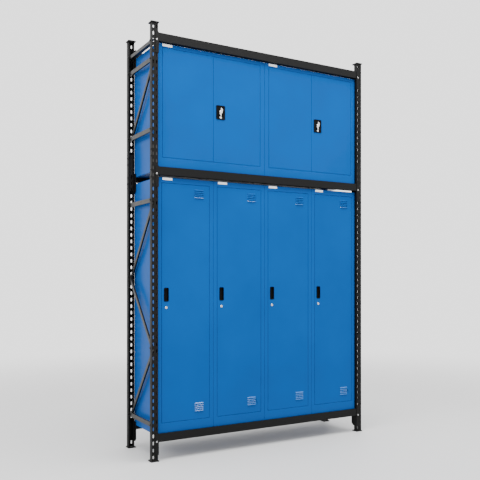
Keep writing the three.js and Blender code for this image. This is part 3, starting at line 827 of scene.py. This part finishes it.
def swing_lever(name):
    """An S-shaped grip on a round hub, with its shaft and the crank behind the door."""
    low, high = box_mm(f"{name}_swing_lever")
    x, y, z = joint_mm(f"{name}_swing_lever")
    front = facing_front(x, y, z)
    reach = y - low.y

    def outline(inset):
        right, left = [], []
        for i in range(2 * LEVER_STEPS + 1):
            t = -1 + i / LEVER_STEPS
            width = (LEVER["half_width"] - inset) * (1 - LEVER["taper"] * abs(t) ** 1.5)
            past = (abs(t) - LEVER["round_from"]) / (1 - LEVER["round_from"])
            end = math.sqrt(max(0.0, 1 - max(0.0, past) ** 2))
            centre = LEVER["sway"] * math.sin(math.pi * t)
            v = (LEVER["half_length"] - inset) * t
            right.append((centre + width * max(end, 0.12), v))
            left.append((centre - width * max(end, 0.12), v))
        return right + left[::-1]

    shape = Shape()
    shape.loft([
        (outline(1.2), reach - 6.8), (outline(0), reach - 5.4), (outline(0), reach - 1.8),
        (outline(0.8), reach - 0.6), (outline(2.4), reach),
    ], front)
    shape.turned([(11.6, 2.7), (11.6, reach - 3.4), (10.8, reach - 2.4), (10.0, reach - 2.0)], front)
    behind = high.y - y
    shape.turned([(3.9, -behind), (3.9, 3.0)], front, 20)
    shape.plate((39.0, 13.6), 2.8, facing_front(x, high.y, z), radius=6.5)
    shape.piece(f"{name}_lever", f"{name}_swing_lever", slot="chrome", replaces=[f"{name}_swing_lever"])


GUIDE = {"clearance": 0.8, "foot": 9, "half_height": 7, "sheet": 1.2, "steps": 8}
GUIDE_BASE = 1.3               # the feet's mid-plane behind the door's face
GUIDE_SHARES = (0.3, 0.8)      # places along each rod


def rod_guides(name):
    """Stirrups on the door's inside that the lock rods run through."""
    door_low, _ = box_mm(f"{name}_door_right")
    shape = Shape()
    for rod in ("rod_up", "rod_down"):
        low, high = box_mm(f"{name}_{rod}")
        x = (low.x + high.x) / 2
        radius = (high.x - low.x) / 2 + GUIDE["clearance"]
        base = door_low.y + GUIDE_BASE
        axis = (low.y + high.y) / 2
        foot = radius + GUIDE["foot"]
        turns = [math.pi * i / GUIDE["steps"] for i in range(1, GUIDE["steps"])]
        path = [(-foot, base), (-radius, base), (-radius, axis)]
        path += [(-radius * math.cos(t), axis + radius * math.sin(t)) for t in turns]
        path += [(radius, axis), (radius, base), (foot, base)]
        for share in GUIDE_SHARES:
            z = low.z + share * (high.z - low.z)
            levels = (z - GUIDE["half_height"], z + GUIDE["half_height"])
            rings = [[(x + u, v, level) for u, v in path] for level in levels]
            shape.skin(rings, Matrix.Identity(4), ends=False, closed=False)
    shape.piece(f"{name}_rod_guides", f"{name}_door_right", slot="zinc", thickness=GUIDE["sheet"])


# ------------------------------------------------------------------ hinges

HINGE = {"height": 60, "depth": 13, "thick": 1.5, "behind_face": 9.5}
HINGE_SHARES = {"locker": (0.08, 0.5, 0.92), "cabinet": (0.12, 0.88)}      # of the door's height


def hinges(door_node, edge, shares):
    """Hinge plates inside a door's hinge side and behind the frame's turned edge.

    edge is -1 where the door hangs on its left edge and 1 on its right.
    """
    low, high = box_mm(door_node)
    hinge_x = high.x if edge > 0 else low.x
    y = low.y + HINGE["behind_face"]
    on_door, on_frame = Shape(), Shape()
    size = HINGE["depth"], HINGE["height"]
    for share in shares:
        z = low.z + share * (high.z - low.z)
        inside_door = hinge_x - edge * (SHEET + TOUCH)
        back_of_return = hinge_x + edge * (DOOR_GAP + SHEET + TOUCH)
        on_door.plate(size, HINGE["thick"], facing_side(-edge, inside_door, y, z), radius=2)
        on_frame.plate(size, HINGE["thick"], facing_side(edge, back_of_return, y, z), radius=2)
    on_door.piece(f"{door_node}_hinge_plates", door_node, slot="zinc")
    on_frame.piece(f"{door_node}_frame_hinge_plates", "root", slot="zinc")


# ------------------------------------------------------------------ labels and fittings

LABEL = {"width": 77, "height": 17, "inset": 39, "thick": 0.3}
LABEL_DROP = {"locker": 1.5, "cabinet": 2}      # below the top
COAT_HOOK = {"below_top": 420, "plate": (18, 40), "sheet": 1.6, "off_back": 1.4, "start_out": 1.5,
             "start_down": 8, "reach": 22, "depth": 14, "wire": 2.5, "steps": 10}
COAT_HOOK_SHARES = (0.25, 0.5, 0.75)            # of the locker's width
RAIL = {"below_top": 345, "behind_front": 225, "radius": 8, "ease": 0.4, "end_gap": 2}
RAIL_CUP = ((17, 0), (17, 1.4), (16, 2), (11.5, 2.4), (10.6, 11), (9, 12))
RAIL_CUP_GAP = 1.3
SHELF_CLIP = {"wall": (16, 22), "wall_sheet": 1.5, "wall_drop": 14, "tab": (12, 12), "tab_sheet": 1.4,
              "tab_drop": 2.9, "from_edge": 40, "gap": 2.7}


def label(name, drop):
    """A blank white label at the top left of the front."""
    low, high = box_mm(f"{name}_body")
    x = low.x + LABEL["inset"] + LABEL["width"] / 2
    z = high.z - drop - LABEL["height"] / 2
    shape = Shape().plate((LABEL["width"], LABEL["height"]), LABEL["thick"],
                          facing_front(x, low.y - TOUCH, z), radius=1.5, edge=0.1)
    shape.piece(f"{name}_label", "root", material=LABEL_VINYL)


def coat_hooks(name):
    """Three bent hooks on the locker's back, under the hat shelf."""
    low, high = box_mm(f"{name}_body")
    shape = Shape()
    z = high.z - COAT_HOOK["below_top"]
    wall = high.y - COAT_HOOK["off_back"]
    start_y = wall - COAT_HOOK["start_out"]
    start_z = z - COAT_HOOK["start_down"]
    turns = [math.pi * i / COAT_HOOK["steps"] for i in range(COAT_HOOK["steps"] + 1)]
    bend = [(start_y - COAT_HOOK["reach"] * math.sin(t), start_z - COAT_HOOK["depth"] * (1 - math.cos(t)))
            for t in turns]
    for share in COAT_HOOK_SHARES:
        x = low.x + share * (high.x - low.x)
        shape.plate(COAT_HOOK["plate"], COAT_HOOK["sheet"], facing_front(x, wall, z), radius=5)
        rings = []
        for k, (y, height) in enumerate(bend):
            before = Vector(bend[max(k - 1, 0)])
            after = Vector(bend[min(k + 1, len(bend) - 1)])
            along = (after - before).normalized()
            across = Vector((-along.y, along.x))
            rings.append([(x + u, y + across.x * v, height + across.y * v)
                          for u, v in circle(COAT_HOOK["wire"], 12)])
        shape.skin(rings, Matrix.Identity(4))
    shape.piece(f"{name}_coat_hooks", "root", slot="zinc")


def hanging_rail(name):
    """A round rail in a cup at each end."""
    low, high = box_mm(f"{name}_body")
    y = low.y + RAIL["behind_front"]
    z = high.z - RAIL["below_top"]
    shape = Shape()
    for side, x in ((1, low.x + RAIL_CUP_GAP), (-1, high.x - RAIL_CUP_GAP)):
        shape.turned(RAIL_CUP, facing_side(side, x, y, z))
    length = high.x - low.x - 2 * RAIL["end_gap"]
    radius, ease = RAIL["radius"], RAIL["ease"]
    rod = [(radius - ease, 0), (radius, ease), (radius, length - ease), (radius - ease, length)]
    shape.turned(rod, facing_side(1, low.x + RAIL["end_gap"], y, z))
    shape.piece(f"{name}_hanging_rail", "root", slot="zinc")


def shelf_clips(name):
    """Four angles on the cabinet's sides, each with a tab under the shelf."""
    low, high = box_mm(f"{name}_shelf")
    half_tab = SHELF_CLIP["tab"][0] / 2
    shape = Shape()
    for side, x in ((1, low.x - SHELF_CLIP["gap"]), (-1, high.x + SHELF_CLIP["gap"])):
        for y in (low.y + SHELF_CLIP["from_edge"], high.y - SHELF_CLIP["from_edge"]):
            wall = facing_side(side, x, y, high.z - SHELF_CLIP["wall_drop"])
            shape.plate(SHELF_CLIP["wall"], SHELF_CLIP["wall_sheet"], wall)
            tab = facing_up(x + side * half_tab, y, high.z - SHELF_CLIP["tab_drop"])
            shape.plate(SHELF_CLIP["tab"], SHELF_CLIP["tab_sheet"], tab)
    shape.piece(f"{name}_shelf_clips", "root", slot="zinc")


# ------------------------------------------------------------------ assembly

make_camera()
make_world()
make_floor()
for light in LIGHTS:
    area_light(*light)

dress_frame()
for side_name, side in SIDES:
    for end_name, end in ENDS:
        post(end_name, end, side_name, side)
side_bolts()
beam_pins()
for locker in LOCKERS:
    locker_body(locker)
    locker_door(locker)
    hinges(f"{locker}_door", 1, HINGE_SHARES["locker"])
    louvres(locker)
    cup_handle(locker)
    cam_lock(locker)
    label(locker, LABEL_DROP["locker"])
    coat_hooks(locker)
    hanging_rail(locker)
for cabinet in CABINETS:
    cabinet_body(cabinet)
    cabinet_door(cabinet, "left")
    cabinet_door(cabinet, "right")
    hinges(f"{cabinet}_door_left", -1, HINGE_SHARES["cabinet"])
    hinges(f"{cabinet}_door_right", 1, HINGE_SHARES["cabinet"])
    handle_plate(cabinet)
    swing_lever(cabinet)
    rod_guides(cabinet)
    shelf_clips(cabinet)
    label(cabinet, LABEL_DROP["cabinet"])
